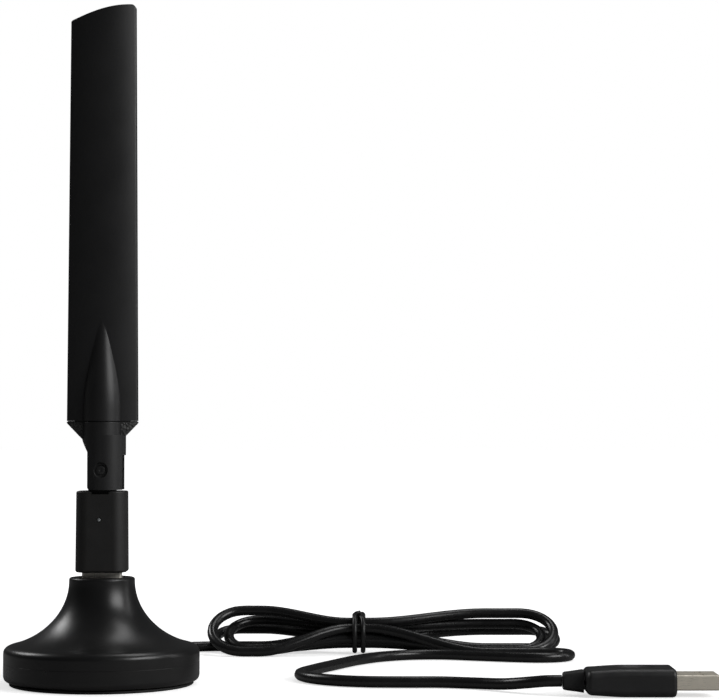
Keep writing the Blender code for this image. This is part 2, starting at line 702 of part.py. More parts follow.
def hank_tie(plastic):
    """Band round the hank's waist."""
    inner = HANK_WAIST + GAP + 0.1
    half = TIE_WIDTH / 2
    profile = [(inner, -half), (inner + TIE_BAND, -half), (inner + TIE_BAND, half), (inner, half)]
    centre = (TIE_PLACE, HANK_MIDDLE, 1.5 + HANK_WAIST)
    return new_object("hank_tie", turned(profile, 20, "X", centre), plastic)


def cable_plug_body(plastic):
    """Rounded grip with an oval thumb recess on top and a pocket for the metal shell."""
    axis_y, axis_z = PLUG_AXIS
    ends = ((0.0, 1.6), (0.5, 0.6), (1.6, 0.0))
    stations = [(PLUG_BODY_START + reach, inset) for reach, inset in ends]
    stations += [(PLUG_BODY_END - reach, inset) for reach, inset in reversed(ends[1:])]
    stations += [(PLUG_BODY_END, 0.9)]
    rings = []
    for x, inset in stations:
        outline = rounded_rectangle(PLUG_BODY_HALF_WIDTH - inset, PLUG_BODY_HALF_HEIGHT - inset, 2.2, 3)
        rings.append([(x, axis_y + across, axis_z + up) for across, up in outline])
    body = new_object("cable_plug_body", loft(rings), plastic)
    pocket = box((CABLE_PLUG_TIP - PLUG_LENGTH - GAP, PLUG_BODY_END + 2.0),
                 (axis_y - 6.3, axis_y + 6.3), (axis_z - 2.55, axis_z + 2.55))
    boolean(body, pocket)
    recess_middle = (PLUG_BODY_START + PLUG_BODY_END) / 2 + 0.5
    top = axis_z + PLUG_BODY_HALF_HEIGHT
    rings = []
    for height, spread in ((top - 0.5, 0.0), (top + 1.0, 0.6)):
        outline = rounded_rectangle(6.8 + spread, 4.3 + spread, 4.2 + spread, 4)
        rings.append([(recess_middle + x, axis_y + y, height) for x, y in outline])
    boolean(body, loft(rings))
    return body


def cable_plug_relief(rubber):
    """Short flexible sleeve between the cable and the grip."""
    profile = [(0.0, PLUG_RELIEF_START), (2.4, PLUG_RELIEF_START), (2.5, PLUG_RELIEF_START + 0.4),
               (2.7, PLUG_RELIEF_START + 3.0), (3.3, PLUG_BODY_START - GAP), (0.0, PLUG_BODY_START - GAP)]
    return new_object("cable_plug_relief", turned(profile, 12, "X", (0.0, *PLUG_AXIS)), rubber)


def cable_plug_place():
    """The plug's local z runs back along -X from its tip, and its wide faces lie flat."""
    rotation = Matrix(((0.0, 0.0, -1.0), (-1.0, 0.0, 0.0), (0.0, 1.0, 0.0))).to_4x4()
    return Matrix.Translation(Vector((CABLE_PLUG_TIP, *PLUG_AXIS)) * MM) @ rotation


# ---------------------------------------------------------------- assembly

def build():
    for obj in list(bpy.data.objects):
        bpy.data.objects.remove(obj, do_unlink=True)

    gloss = make_material("gloss_black_plastic", (0.012, 0.012, 0.013), 0.28)
    satin = make_material("satin_black_plastic", (0.016, 0.016, 0.017), 0.45)
    matte = make_material("matte_black_plastic", (0.022, 0.021, 0.021), 0.6)
    rubber = make_material("black_rubber", (0.010, 0.010, 0.010), 0.4)
    steel = make_material("plated_steel", (0.55, 0.53, 0.48), 0.3, 1.0)
    gold = make_material("gold_contact", (0.80, 0.60, 0.25), 0.25, 1.0)
    copper = make_material("copper_foil", (0.78, 0.38, 0.22), 0.3, 1.0)
    white = make_material("white_insulator", (0.75, 0.75, 0.72), 0.5)
    green = make_material("circuit_board", (0.02, 0.12, 0.05), 0.45)
    clear = make_material("led_lens", (0.25, 0.27, 0.28), 0.15)

    base_cover(gloss)
    base_plate(steel)
    plate_screws(steel)
    base_weight(steel)
    foot_pad(rubber)
    socket(steel, white, gold, green)
    base_strain_relief(rubber)
    inner_lead(rubber)

    adapter = make_axis("adapter_slide", PLUG_TIP)
    swivel = make_axis("swivel_axis", ADAPTER_TOP, adapter)
    tilt = make_axis("tilt_axis", TILT_HEIGHT, swivel)

    adapter_plug = usb_plug("usb_plug", Matrix.Translation((0.0, 0.0, PLUG_TIP * MM)), steel, white, gold)
    shells = [adapter_shell("adapter_front_shell", -1, matte), adapter_shell("adapter_back_shell", 1, matte)]
    adopt(adapter, adapter_plug + shells + adapter_insides(green, steel, matte, clear))
    adopt(swivel, [swivel_knuckle(satin), coax_lower(rubber)])
    adopt(tilt, [paddle_cover(satin), paddle_cap(satin), antenna_board(green), coax_upper(rubber)])
    adopt(tilt, radiators(copper) + hinge_pins(satin))

    tube("cord_lead", LEAD_ROUTE, CORD_RADIUS, 4.0 * CORD_RADIUS, rubber)
    cord_hank(rubber)
    hank_tie(satin)
    tube("cord_tail", TAIL_ROUTE, CORD_RADIUS, 3.0 * CORD_RADIUS, rubber)
    cable_plug_relief(rubber)
    cable_plug_body(satin)
    usb_plug("cable_plug", cable_plug_place(), steel, white, gold)
    bpy.context.view_layer.update()


build()
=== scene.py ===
"""Looks of the USB wireless adapter: fine meshes, cord, materials, light and camera."""

import math

import bmesh
import bpy
import numpy as np
from mathutils import Matrix, Vector


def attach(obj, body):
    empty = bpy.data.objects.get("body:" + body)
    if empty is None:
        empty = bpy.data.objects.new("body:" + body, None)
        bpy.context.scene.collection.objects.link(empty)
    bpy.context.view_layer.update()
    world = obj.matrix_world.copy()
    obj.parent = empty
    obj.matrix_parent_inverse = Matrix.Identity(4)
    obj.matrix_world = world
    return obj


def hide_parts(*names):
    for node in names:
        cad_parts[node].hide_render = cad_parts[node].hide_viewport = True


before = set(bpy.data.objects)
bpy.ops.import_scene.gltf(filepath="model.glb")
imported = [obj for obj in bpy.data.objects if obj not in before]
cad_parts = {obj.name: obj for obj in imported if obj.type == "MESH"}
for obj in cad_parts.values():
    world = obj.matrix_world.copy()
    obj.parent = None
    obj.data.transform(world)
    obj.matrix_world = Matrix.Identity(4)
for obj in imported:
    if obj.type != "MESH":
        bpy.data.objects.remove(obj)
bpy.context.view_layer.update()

MM = 0.001

# Sizes in millimetres, the same as the CAD's
BASE_RADIUS = 30.0
NECK_RADIUS = 10.1
NECK_TOP = 32.7
NECK_CEILING = 30.7             # underside of the neck's top face
SOCKET_HALF = (6.6, 2.9)
SOCKET_FOOT = 18.3
SOCKET_LIP = 32.4
RELIEF_HEIGHT = 6.5
RELIEF_END = 40.0
ADAPTER_BOTTOM = 34.35
ADAPTER_TOP = 59.2
ADAPTER_HALF_FOOT = 7.95
ADAPTER_HALF_HEAD = 7.7
ADAPTER_HALF_DEPTH = 6.5
ADAPTER_CORNER = 4.0
DISH_RADIUS = 7.0
DISH_FLOOR = 58.3
LED_PLACE = (-0.3, 50.5)
PLUG_TIP = 22.3
PLUG_LENGTH = 18.2
PLUG_HALF = (6.0, 2.25)
TILT_HEIGHT = 65.7
NECK_POST = 6.15
FORK_BOTTOM = 59.6
FORK_FLAT = -4.2
FORK_RIGHT = 7.2
EAR_TOP = 76.4
SLOT_HALF = 2.8
SLOT_TOP = 70.2
TONGUE_HALF = 2.5
TONGUE_RADIUS = 4.1
PIN_RADIUS = 1.45
PIN_END = 5.6
PIN_BORE = 1.75
WING_FOOT = 74.4
SEAM = 80.6
SEAM_GAP = 0.12                 # visible joint line between the cap and the blade
PADDLE_HALF_FOOT = 11.0
PADDLE_HALF_HEAD = 10.1
PADDLE_TOP_LEFT = 204.8
PADDLE_TOP_RIGHT = 209.8
EDGE_HALF_THICKNESS = 0.9
MIDDLE_HALF_THICKNESS = 3.0
OGIVE_RADIUS = 6.2
OGIVE_TIP = 2.9
OGIVE_RISE = (4.0, 34.0)
CORD_RADIUS = 1.75
CORD_REST = 1.85
PLUG_AXIS = (-29.5, 4.25)
PLUG_RELIEF_START = 139.0
PLUG_BODY_START = 145.3
PLUG_BODY_END = 171.8
PLUG_BODY_HALF_WIDTH = 8.0
PLUG_BODY_HALF_HEIGHT = 4.15
CABLE_PLUG_TIP = 184.3
TIE_PLACE = 79.0
TIE_WIRE = 0.85
WAIST = (92.5, 7.1)             # Y and Z of the tied bundle's middle
WAIST_PITCH = 3.55              # distance between neighbouring strands in the tie


# ---------------------------------------------------------------- camera, light and floor

# Metres and degrees; the camera looks along +Y, turned up by its rise
CAMERA_X = 0.0792
CAMERA_DISTANCE = 0.700
CAMERA_HEIGHT = 0.080
CAMERA_RISE = 1.85


def make_camera():
    data = bpy.data.cameras.new("camera")
    data.lens = 113.6
    data.sensor_width = 36.0
    data.clip_start = 0.01
    data.clip_end = 50.0
    camera = bpy.data.objects.new("camera", data)
    camera.location = (CAMERA_X, -CAMERA_DISTANCE, CAMERA_HEIGHT)
    camera.rotation_euler = (math.radians(90.0 + CAMERA_RISE), 0.0, 0.0)
    bpy.context.collection.objects.link(camera)
    bpy.context.scene.camera = camera


def area_light(name, place, target, size, radiance):
    """Rectangular softbox facing target; size and places in metres, radiance as seen in reflections."""
    data = bpy.data.lights.new(name, "AREA")
    data.shape = "RECTANGLE"
    data.size, data.size_y = size
    data.energy = radiance * math.pi * size[0] * size[1]
    light = bpy.data.objects.new(name, data)
    light.location = place
    light.rotation_euler = (Vector(target) - Vector(place)).to_track_quat("-Z", "Y").to_euler()
    bpy.context.collection.objects.link(light)


def make_light():
    """White studio: most of the light comes from the right, from the back and from above."""
    middle = (0.0, 0.0, 0.09)
    area_light("right_softbox", (0.80, -0.48, 0.50), (0.0, 0.0, 0.16), (0.62, 0.46), 6.0)
    area_light("right_strip", (0.95, 0.17, 0.42), (0.0, 0.0, 0.05), (0.10, 0.80), 3.2)
    area_light("back_left", (-0.70, 0.46, 0.69), middle, (0.40, 0.34), 6.0)
    area_light("top_right", (0.40, -0.10, 0.97), middle, (0.26, 0.30), 1.0)
    area_light("top_back", (0.30, 0.26, 0.98), (0.08, 0.05, 0.0), (0.60, 0.26), 3.0)
    world = bpy.data.worlds.new("studio")
    world.use_nodes = True
    tree = world.node_tree
    backdrop = tree.nodes["Background"]
    backdrop.inputs["Color"].default_value = (1.0, 1.0, 1.0, 1.0)
    backdrop.inputs["Strength"].default_value = 1.0
    room = tree.nodes.new("ShaderNodeBackground")
    room.inputs["Color"].default_value = (0.96, 0.98, 1.0, 1.0)
    room.inputs["Strength"].default_value = 0.05
    path = tree.nodes.new("ShaderNodeLightPath")
    mix = tree.nodes.new("ShaderNodeMixShader")
    tree.links.new(path.outputs["Is Camera Ray"], mix.inputs["Fac"])
    tree.links.new(room.outputs["Background"], mix.inputs[1])
    tree.links.new(backdrop.outputs["Background"], mix.inputs[2])
    tree.links.new(mix.outputs["Shader"], tree.nodes["World Output"].inputs["Surface"])
    bpy.context.scene.world = world
    bpy.context.scene.view_settings.view_transform = "Standard"


def floor_material():
    """White paper, brightening outwards until it meets the backdrop; dull grey in reflections."""
    material = bpy.data.materials.new("floor")
    material.use_nodes = True
    tree = material.node_tree
    shader = tree.nodes["Principled BSDF"]
    shader.inputs["Base Color"].default_value = (0.9, 0.9, 0.9, 1.0)
    shader.inputs["Roughness"].default_value = 0.9
    shader.inputs["Specular IOR Level"].default_value = 0.0
    shader.inputs["Emission Color"].default_value = (1.0, 1.0, 1.0, 1.0)
    offset = tree.nodes.new("ShaderNodeVectorMath")
    offset.operation = "DISTANCE"
    offset.inputs[1].default_value = (0.08, 0.03, 0.0)
    tree.links.new(tree.nodes.new("ShaderNodeTexCoord").outputs["Object"], offset.inputs[0])
    glow = tree.nodes.new("ShaderNodeMapRange")
    glow.inputs["From Min"].default_value = 0.14
    glow.inputs["From Max"].default_value = 0.40
    glow.inputs["To Min"].default_value = 0.62
    glow.inputs["To Max"].default_value = 1.0
    tree.links.new(offset.outputs["Value"], glow.inputs["Value"])
    tree.links.new(glow.outputs["Result"], shader.inputs["Emission Strength"])
    plain = tree.nodes.new("ShaderNodeBsdfDiffuse")
    plain.inputs["Color"].default_value = (0.35, 0.35, 0.35, 1.0)
    path = tree.nodes.new("ShaderNodeLightPath")
    mix = tree.nodes.new("ShaderNodeMixShader")
    tree.links.new(path.outputs["Is Camera Ray"], mix.inputs["Fac"])
    tree.links.new(plain.outputs["BSDF"], mix.inputs[1])
    tree.links.new(shader.outputs["BSDF"], mix.inputs[2])
    tree.links.new(mix.outputs["Shader"], tree.nodes["Material Output"].inputs["Surface"])
    return material


def make_floor():
    mesh = bpy.data.meshes.new("floor")
    bm = bmesh.new()
    bmesh.ops.create_grid(bm, x_segments=2, y_segments=2, size=6.0)
    bm.to_mesh(mesh)
    bm.free()
    mesh.materials.append(floor_material())
    floor = bpy.data.objects.new("floor", mesh)
    bpy.context.collection.objects.link(floor)


# ---------------------------------------------------------------- materials

class Surface:
    """A Principled material whose bump, roughness and colour are built up from noise."""

    def __init__(self, name, colour, roughness, metallic=0.0, specular=0.5, coat=0.0):
        self.material = bpy.data.materials.new(name)
        self.material.use_nodes = True
        self.tree = self.material.node_tree
        self.shader = self.tree.nodes["Principled BSDF"]
        self.colour = colour
        self.shader.inputs["Base Color"].default_value = (*colour, 1.0)
        self.shader.inputs["Roughness"].default_value = roughness
        self.shader.inputs["Metallic"].default_value = metallic
        self.shader.inputs["Specular IOR Level"].default_value = specular
        self.shader.inputs["Coat Weight"].default_value = coat
        self.coordinates = self.tree.nodes.new("ShaderNodeTexCoord").outputs["Object"]
        self.height = None

    def stretched(self, stretch):
        """Object coordinates scaled per axis, for brushed or drawn-out patterns."""
        node = self.tree.nodes.new("ShaderNodeMapping")
        node.inputs["Scale"].default_value = stretch
        self.tree.links.new(self.coordinates, node.inputs["Vector"])
        return node.outputs["Vector"]

    def noise(self, size, detail=3.0, stretch=None):
        """Noise whose blotches are about size millimetres across."""
        node = self.tree.nodes.new("ShaderNodeTexNoise")
        node.inputs["Scale"].default_value = 1.0 / (size * MM)
        node.inputs["Detail"].default_value = detail
        vector = self.stretched(stretch) if stretch else self.coordinates
        self.tree.links.new(vector, node.inputs["Vector"])
        return node.outputs["Fac"]

    def cells(self, size):
        node = self.tree.nodes.new("ShaderNodeTexVoronoi")
        node.inputs["Scale"].default_value = 1.0 / (size * MM)
        self.tree.links.new(self.coordinates, node.inputs["Vector"])
        return node.outputs["Distance"]

    def remap(self, value, low, high):
        """Spread the middle of the noise's range over low to high."""
        node = self.tree.nodes.new("ShaderNodeMapRange")
        node.inputs["From Min"].default_value = 0.3
        node.inputs["From Max"].default_value = 0.7
        node.inputs["To Min"].default_value = low
        node.inputs["To Max"].default_value = high
        self.tree.links.new(value, node.inputs["Value"])
        return node.outputs["Result"]

    def bump(self, value, depth, strength=1.0):
        """Add relief depth millimetres deep; several calls stack."""
        node = self.tree.nodes.new("ShaderNodeBump")
        node.inputs["Distance"].default_value = depth * MM
        node.inputs["Strength"].default_value = strength
        self.tree.links.new(value, node.inputs["Height"])
        if self.height:
            self.tree.links.new(self.height, node.inputs["Normal"])
        self.height = node.outputs["Normal"]
        self.tree.links.new(self.height, self.shader.inputs["Normal"])
        return self

    def vary_roughness(self, size, low, high, stretch=None):
        self.tree.links.new(self.remap(self.noise(size, 4.0, stretch), low, high),
                            self.shader.inputs["Roughness"])
        return self

    def vary_colour(self, size, other, stretch=None):
        node = self.tree.nodes.new("ShaderNodeMix")
        node.data_type = "RGBA"
        node.inputs["A"].default_value = (*self.colour, 1.0)
        node.inputs["B"].default_value = (*other, 1.0)
        self.tree.links.new(self.remap(self.noise(size, 5.0, stretch), 0.0, 1.0), node.inputs["Factor"])
        self.tree.links.new(node.outputs["Result"], self.shader.inputs["Base Color"])
        return self


def make_materials():
    made = {}

    base = Surface("base_plastic", (0.0085, 0.0085, 0.009), 0.3)
    base.bump(base.noise(0.5), 0.004).bump(base.noise(5.0, 1.0), 0.006)
    base.vary_roughness(9.0, 0.27, 0.36).vary_colour(14.0, (0.012, 0.0118, 0.0115))
    made["base_plastic"] = base

    case = Surface("adapter_plastic", (0.013, 0.0125, 0.012), 0.5)
    case.bump(case.noise(0.16, 4.0), 0.012).bump(case.cells(0.3), 0.006)
    case.vary_roughness(3.0, 0.46, 0.58).vary_colour(7.0, (0.0175, 0.017, 0.0165))
    made["adapter_plastic"] = case

    blade = Surface("blade_plastic", (0.012, 0.012, 0.0125), 0.42)
    blade.bump(blade.noise(0.22, 4.0), 0.005).bump(blade.noise(9.0, 1.0), 0.008)
    blade.vary_roughness(12.0, 0.38, 0.47).vary_colour(20.0, (0.0155, 0.0155, 0.016))
    made["blade_plastic"] = blade

    wing = Surface("wing_texture", (0.012, 0.012, 0.012), 0.45)
    wing.bump(wing.cells(0.8), 0.3).bump(wing.noise(0.4, 4.0), 0.15)
    wing.vary_roughness(1.2, 0.35, 0.6).vary_colour(0.7, (0.045, 0.045, 0.044))
    made["wing_texture"] = wing

    cord = Surface("cord_jacket", (0.0075, 0.0075, 0.008), 0.26)
    cord.bump(cord.noise(1.6, 2.0), 0.02).bump(cord.noise(0.25, 2.0), 0.003)
    cord.vary_roughness(4.0, 0.22, 0.34).vary_colour(6.0, (0.011, 0.011, 0.0112))
    made["cord_jacket"] = cord

    rubber = Surface("soft_rubber", (0.011, 0.011, 0.011), 0.6)
    rubber.bump(rubber.noise(0.3, 4.0), 0.02)
    rubber.vary_roughness(2.0, 0.5, 0.68).vary_colour(5.0, (0.016, 0.0158, 0.0155))
    made["soft_rubber"] = rubber

    grip = Surface("plug_grip", (0.0125, 0.0125, 0.013), 0.42)
    grip.bump(grip.noise(0.2, 4.0), 0.008)
    grip.vary_roughness(4.0, 0.36, 0.48).vary_colour(6.0, (0.017, 0.017, 0.0172))
    made["plug_grip"] = grip

    tie = Surface("tie_jacket", (0.010, 0.010, 0.010), 0.38)
    tie.bump(tie.noise(0.4, 3.0), 0.02)
    made["tie_jacket"] = tie.vary_roughness(1.0, 0.3, 0.48)

    brushed = (1.0, 1.0, 0.06)
    steel = Surface("plug_steel", (0.86, 0.83, 0.76), 0.3, metallic=0.35)
    steel.bump(steel.noise(0.12, 3.0, brushed), 0.002)
    steel.vary_roughness(0.25, 0.24, 0.4, brushed).vary_colour(2.5, (0.78, 0.75, 0.68))
    made["plug_steel"] = steel

    # The same steel as plug_steel, brushed along X for the shell lying on the floor; its darker, warmer
    # colour is painted shade.
    flat_brushed = (0.06, 1.0, 1.0)
    lying = Surface("plug_steel_lying_painted_shade", (0.80, 0.74, 0.63), 0.3, metallic=0.35)
    lying.bump(lying.noise(0.12, 3.0, flat_brushed), 0.002)
    lying.vary_roughness(0.25, 0.24, 0.4, flat_brushed).vary_colour(2.5, (0.72, 0.67, 0.57))
    made["plug_steel_lying_painted_shade"] = lying

    zinc = Surface("zinc_steel", (0.46, 0.47, 0.48), 0.35, metallic=1.0)
    zinc.bump(zinc.cells(0.8), 0.004)
    made["zinc_steel"] = zinc.vary_roughness(1.5, 0.28, 0.45)

    weight = Surface("weight_steel", (0.17, 0.17, 0.175), 0.5, metallic=1.0)
    weight.bump(weight.noise(0.8, 5.0), 0.03)
    made["weight_steel"] = weight.vary_roughness(3.0, 0.42, 0.62)

    gold = Surface("gold_contact", (0.83, 0.62, 0.27), 0.22, metallic=1.0)
    made["gold_contact"] = gold.vary_roughness(0.5, 0.18, 0.3)

    copper = Surface("copper_foil", (0.78, 0.38, 0.22), 0.3, metallic=1.0)
    made["copper_foil"] = copper.vary_roughness(1.2, 0.24, 0.4)

    white = Surface("white_insulator", (0.74, 0.74, 0.71), 0.42)
    white.bump(white.noise(0.3, 3.0), 0.004)
    made["white_insulator"] = white.vary_roughness(1.5, 0.36, 0.5)

    green = Surface("circuit_board", (0.012, 0.09, 0.035), 0.35)
    green.bump(green.cells(0.9), 0.006)
    green.vary_colour(2.2, (0.02, 0.14, 0.055)).vary_roughness(2.0, 0.3, 0.45)
    made["circuit_board"] = green

    lens = Surface("led_lens", (0.30, 0.32, 0.33), 0.16, coat=0.5)
    made["led_lens"] = lens.vary_roughness(0.4, 0.12, 0.22)

    return {name: surface.material for name, surface in made.items()}


# ---------------------------------------------------------------- shape tools

def new_piece(name, bm, material):
    """Turn a bmesh in millimetres into an object in metres."""
    bmesh.ops.recalc_face_normals(bm, faces=bm.faces)
    bmesh.ops.scale(bm, vec=(MM, MM, MM), verts=bm.verts)
    mesh = bpy.data.meshes.new(name)
    bm.to_mesh(mesh)
    bm.free()
    if material:
        mesh.materials.append(material)
    obj = bpy.data.objects.new(name, mesh)
    bpy.context.collection.objects.link(obj)
    return obj


def loft(rings, closed=False):
    bm = bmesh.new()
    rows = [[bm.verts.new(point) for point in ring] for ring in rings]
    count = len(rows[0])
    pairs = list(zip(rows, rows[1:]))
    if closed:
        pairs.append((rows[-1], rows[0]))
    for low, high in pairs:
        for i in range(count):
            j = (i + 1) % count
            bm.faces.new((low[i], low[j], high[j], high[i]))
    if not closed:
        bm.faces.new(rows[0])
        bm.faces.new(rows[-1])
    return bm


def turned(profile, segments=96, axis="Z", centre=(0.0, 0.0, 0.0)):
    """Turn (radius, height) points about an axis; profiles off the axis close into a ring."""
    bm = bmesh.new()
    solid = profile[0][0] == 0.0
    rows = []
    for radius, height in profile:
        if radius == 0.0:
            rows.append([bm.verts.new((0.0, 0.0, height))])
            continue
        angles = [2.0 * math.pi * i / segments for i in range(segments)]
        rows.append([bm.verts.new((radius * math.cos(a), radius * math.sin(a), height)) for a in angles])
    pairs = list(zip(rows, rows[1:]))
    if not solid:
        pairs.append((rows[-1], rows[0]))
    for low, high in pairs:
        for i in range(segments):
            j = (i + 1) % segments
            corners = [low[i % len(low)], low[j % len(low)], high[j % len(high)], high[i % len(high)]]
            bm.faces.new(list(dict.fromkeys(corners)))
    turns = {"Z": Matrix.Identity(3),
             "Y": Matrix.Rotation(-math.pi / 2, 3, "X"),
             "X": Matrix.Rotation(math.pi / 2, 3, "Y")}
    bmesh.ops.rotate(bm, matrix=turns[axis], verts=bm.verts)
    bmesh.ops.translate(bm, vec=centre, verts=bm.verts)
    return bm


def box(x_range, y_range, z_range):
    corners = [(x_range[0], y_range[0]), (x_range[1], y_range[0]),
               (x_range[1], y_range[1]), (x_range[0], y_range[1])]
    return loft([[(x, y, z) for x, y in corners] for z in z_range])


def rod(radius, low, high, axis="Z", centre=(0.0, 0.0, 0.0), segments=64):
    return turned([(0.0, low), (radius, low), (radius, high), (0.0, high)], segments, axis, centre)


def rounded_rectangle(half_x, half_y, radius, steps=10):
    points = []
    for corner in range(4):
        sign_x = 1 if corner in (0, 3) else -1
        sign_y = 1 if corner in (0, 1) else -1
        for i in range(steps + 1):
            angle = (corner + i / steps) * math.pi / 2
            points.append((sign_x * (half_x - radius) + radius * math.cos(angle),
                           sign_y * (half_y - radius) + radius * math.sin(angle)))
    return points


def arc(centre, radius, start, end, steps):
    angles = [math.radians(start + (end - start) * i / steps) for i in range(steps + 1)]
    return [(centre[0] + radius * math.cos(a), centre[1] + radius * math.sin(a)) for a in angles]


def bezier(p0, p1, p2, p3, steps):
    points = []
    for i in range(steps + 1):
        t = i / steps
        weights = ((1 - t) ** 3, 3 * t * (1 - t) ** 2, 3 * t * t * (1 - t), t ** 3)
        points.append(tuple(sum(w * p[k] for w, p in zip(weights, (p0, p1, p2, p3))) for k in (0, 1)))
    return points


def quarter_round(radius, steps=6):
    """(reach, inset) pairs of an edge rounded to radius, from the end face to the full section."""
    angles = [math.pi / 2 * i / steps for i in range(steps + 1)]
    return [(radius * (1.0 - math.cos(a)), radius * (1.0 - math.sin(a))) for a in angles]


def boolean(obj, bm, operation="DIFFERENCE"):
    """Cut, join or intersect obj's mesh with bm at once."""
    tool = new_piece("tool", bm, None)
    modifier = obj.modifiers.new("cut", "BOOLEAN")
    modifier.operation = operation
    modifier.solver = "EXACT"
    modifier.object = tool
    settle(obj)
    bpy.data.objects.remove(tool, do_unlink=True)


def settle(obj):
    """Apply obj's modifiers to its mesh."""
    graph = bpy.context.evaluated_depsgraph_get()
    graph.update()
    mesh = bpy.data.meshes.new_from_object(obj.evaluated_get(graph))
    obj.modifiers.clear()
    obj.data = mesh


def soften(obj, width, angle=38.0, segments=2):
    """Round the sharp edges by width millimetres."""
    modifier = obj.modifiers.new("soften", "BEVEL")
    modifier.width = width * MM
    modifier.segments = segments
    modifier.limit_method = "ANGLE"
    modifier.angle_limit = math.radians(angle)
    modifier.use_clamp_overlap = True
    modifier.miter_outer = "MITER_ARC"
    settle(obj)


def finish_piece(obj, body, nodes, sharp=34.0):
    """Smooth shading, and obj's place in the frame."""
    obj.data.shade_smooth()
    obj.data.set_sharp_from_angle(angle=math.radians(sharp))
    even = obj.modifiers.new("even_shading", "WEIGHTED_NORMAL")
    even.keep_sharp = True
    settle(obj)
    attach(obj, body)
    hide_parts(*nodes)
    return obj


def smooth_step(value, low, high):
    t = min(max((value - low) / (high - low), 0.0), 1.0)
    return t * t * (3.0 - 2.0 * t)


# ---------------------------------------------------------------- base

def make_base(materials):
    """Bell-shaped cover with the socket's opening, a joint line and the cable outlet; foot pad."""
    shoulder, wall_top = (27.5, 12.2), (BASE_RADIUS, 9.7)
    outer = [(0.0, NECK_TOP)]
    outer += arc((NECK_RADIUS - 0.7, NECK_TOP - 0.7), 0.7, 90.0, 0.0, 8)
    outer += bezier((NECK_RADIUS, 31.4), (10.3, 22.0), (18.0, 14.5), shoulder, 40)
    outer += bezier(shoulder, (29.2, 11.8), (BASE_RADIUS, 11.0), wall_top, 12)[1:]
    outer += [(BASE_RADIUS, 7.0), (BASE_RADIUS - 0.06, 6.9), (BASE_RADIUS, 6.8)]
    outer += bezier((BASE_RADIUS, 3.2), (BASE_RADIUS, 2.1), (29.6, 1.4), (28.6, 1.2), 10)
    inner = [(27.5, 1.2), (27.5, 3.6), (28.0, 4.0), (28.0, 9.2)]
    inner += bezier((26.6, 10.3), (16.6, 12.7), (8.3, 21.2), (8.1, 29.5), 12)
    inner += [(8.1, NECK_CEILING), (0.0, NECK_CEILING)]
    cover = new_piece("base_cover_fine", turned(outer + inner, 160), materials["base_plastic"])
    opening = rounded_rectangle(6.9, 3.2, 0.8, 6)
    boolean(cover, loft([[(x, y, z) for x, y in opening] for z in (29.0, 34.0)]))
    boolean(cover, rod(2.6, 24.0, 33.0, "Y", (0.0, 0.0, RELIEF_HEIGHT)))
    finish_piece(cover, "base", ["base_cover"], 28.0)

    pad = [(0.0, 0.0), (27.9, 0.0), (28.15, 0.15), (28.2, 0.4), (28.15, 0.8), (27.9, 0.9), (0.0, 0.9)]
    finish_piece(new_piece("foot_pad_fine", turned(pad, 128), materials["soft_rubber"]),
                 "base", ["foot_pad"], 50.0)


def make_strain_relief(materials):
    """Ringed, tapering sleeve at the cable outlet."""
    first = BASE_RADIUS + 0.3
    pitch = 2.7
    rings = 3
    profile = [(0.0, 25.4), (2.9, 25.4), (2.9, 27.0), (2.35, 27.0), (2.35, first - 0.05)]
    for number in range(rings):
        start = first + pitch * number
        radius = 3.7 - 0.35 * number
        profile += [(radius - 0.25, start), (radius, start + 0.25), (radius - 0.08, start + 1.55)]
        profile += [(radius - 0.3, start + 1.8), (radius - 0.85, start + 1.95)]
        profile.append((radius - 0.88, start + 2.55))
    profile += [(2.62, first + pitch * rings), (2.5, RELIEF_END - 0.3)]
    profile += [(2.3, RELIEF_END), (0.0, RELIEF_END)]
    bm = turned(profile, 48, "Y", (0.0, 0.0, RELIEF_HEIGHT))
    piece = new_piece("strain_relief_fine", bm, materials["soft_rubber"])
    return finish_piece(piece, "base", ["base_strain_relief"])


def metal_sleeve(half_x, half_y, corner, wall, low, high):
    """Folded sheet-metal tube with rounded lips, standing along Z."""
    rings = []
    lip = wall / 2
    for height, sign in ((low, 1.0), (high, -1.0)):
        for i in range(7):
            angle = math.pi * i / 6
            inset = lip - lip * math.cos(angle)
            outline = rounded_rectangle(half_x - inset, half_y - inset, max(corner - inset, 0.05), 6)
            rings.append([(x, y, height + sign * lip * (1.0 - math.sin(angle))) for x, y in outline])
        if sign > 0:
            rings.reverse()
    return loft(rings, closed=True)


def make_socket(materials):
    shell = new_piece("socket_shell_fine", metal_sleeve(*SOCKET_HALF, 0.7, 0.35, SOCKET_FOOT, SOCKET_LIP),
                      materials["plug_steel"])
    finish_piece(shell, "base", ["socket_shell"])


def usb_shell(name, node, body, place, material):
    """Plug shell with its four windows and the folded seam. Local z runs from the tip inwards."""
    shell = new_piece(name, metal_sleeve(*PLUG_HALF, 0.6, 0.3, 0.0, PLUG_LENGTH), material)
    for side in (-1, 1):
        near, far = sorted((side * 1.6, side * 4.1))
        boolean(shell, box((near, far), (-4.0, 4.0), (4.2, 6.2)))
    seam = [(0.04, 0.9), (0.04, 8.0), (0.9, 9.0), (0.9, 11.0),
            (0.98, 11.0), (0.98, 8.95), (0.12, 7.95), (0.12, 0.9)]
    boolean(shell, loft([[(x, y, z) for x, z in seam] for y in (-2.4, -2.12)]))
    shell.data.transform(place)
    return finish_piece(shell, body, [node])


# ---------------------------------------------------------------- adapter

def adapter_half_width(height):
    share = (height - ADAPTER_BOTTOM) / (ADAPTER_TOP - ADAPTER_BOTTOM)
    return ADAPTER_HALF_FOOT + (ADAPTER_HALF_HEAD - ADAPTER_HALF_FOOT) * share


def adapter_ring(height, inset):
    outline = rounded_rectangle(adapter_half_width(height) - inset, ADAPTER_HALF_DEPTH - inset,
                                ADAPTER_CORNER - inset, 14)
    return [(x, y, height) for x, y in outline]


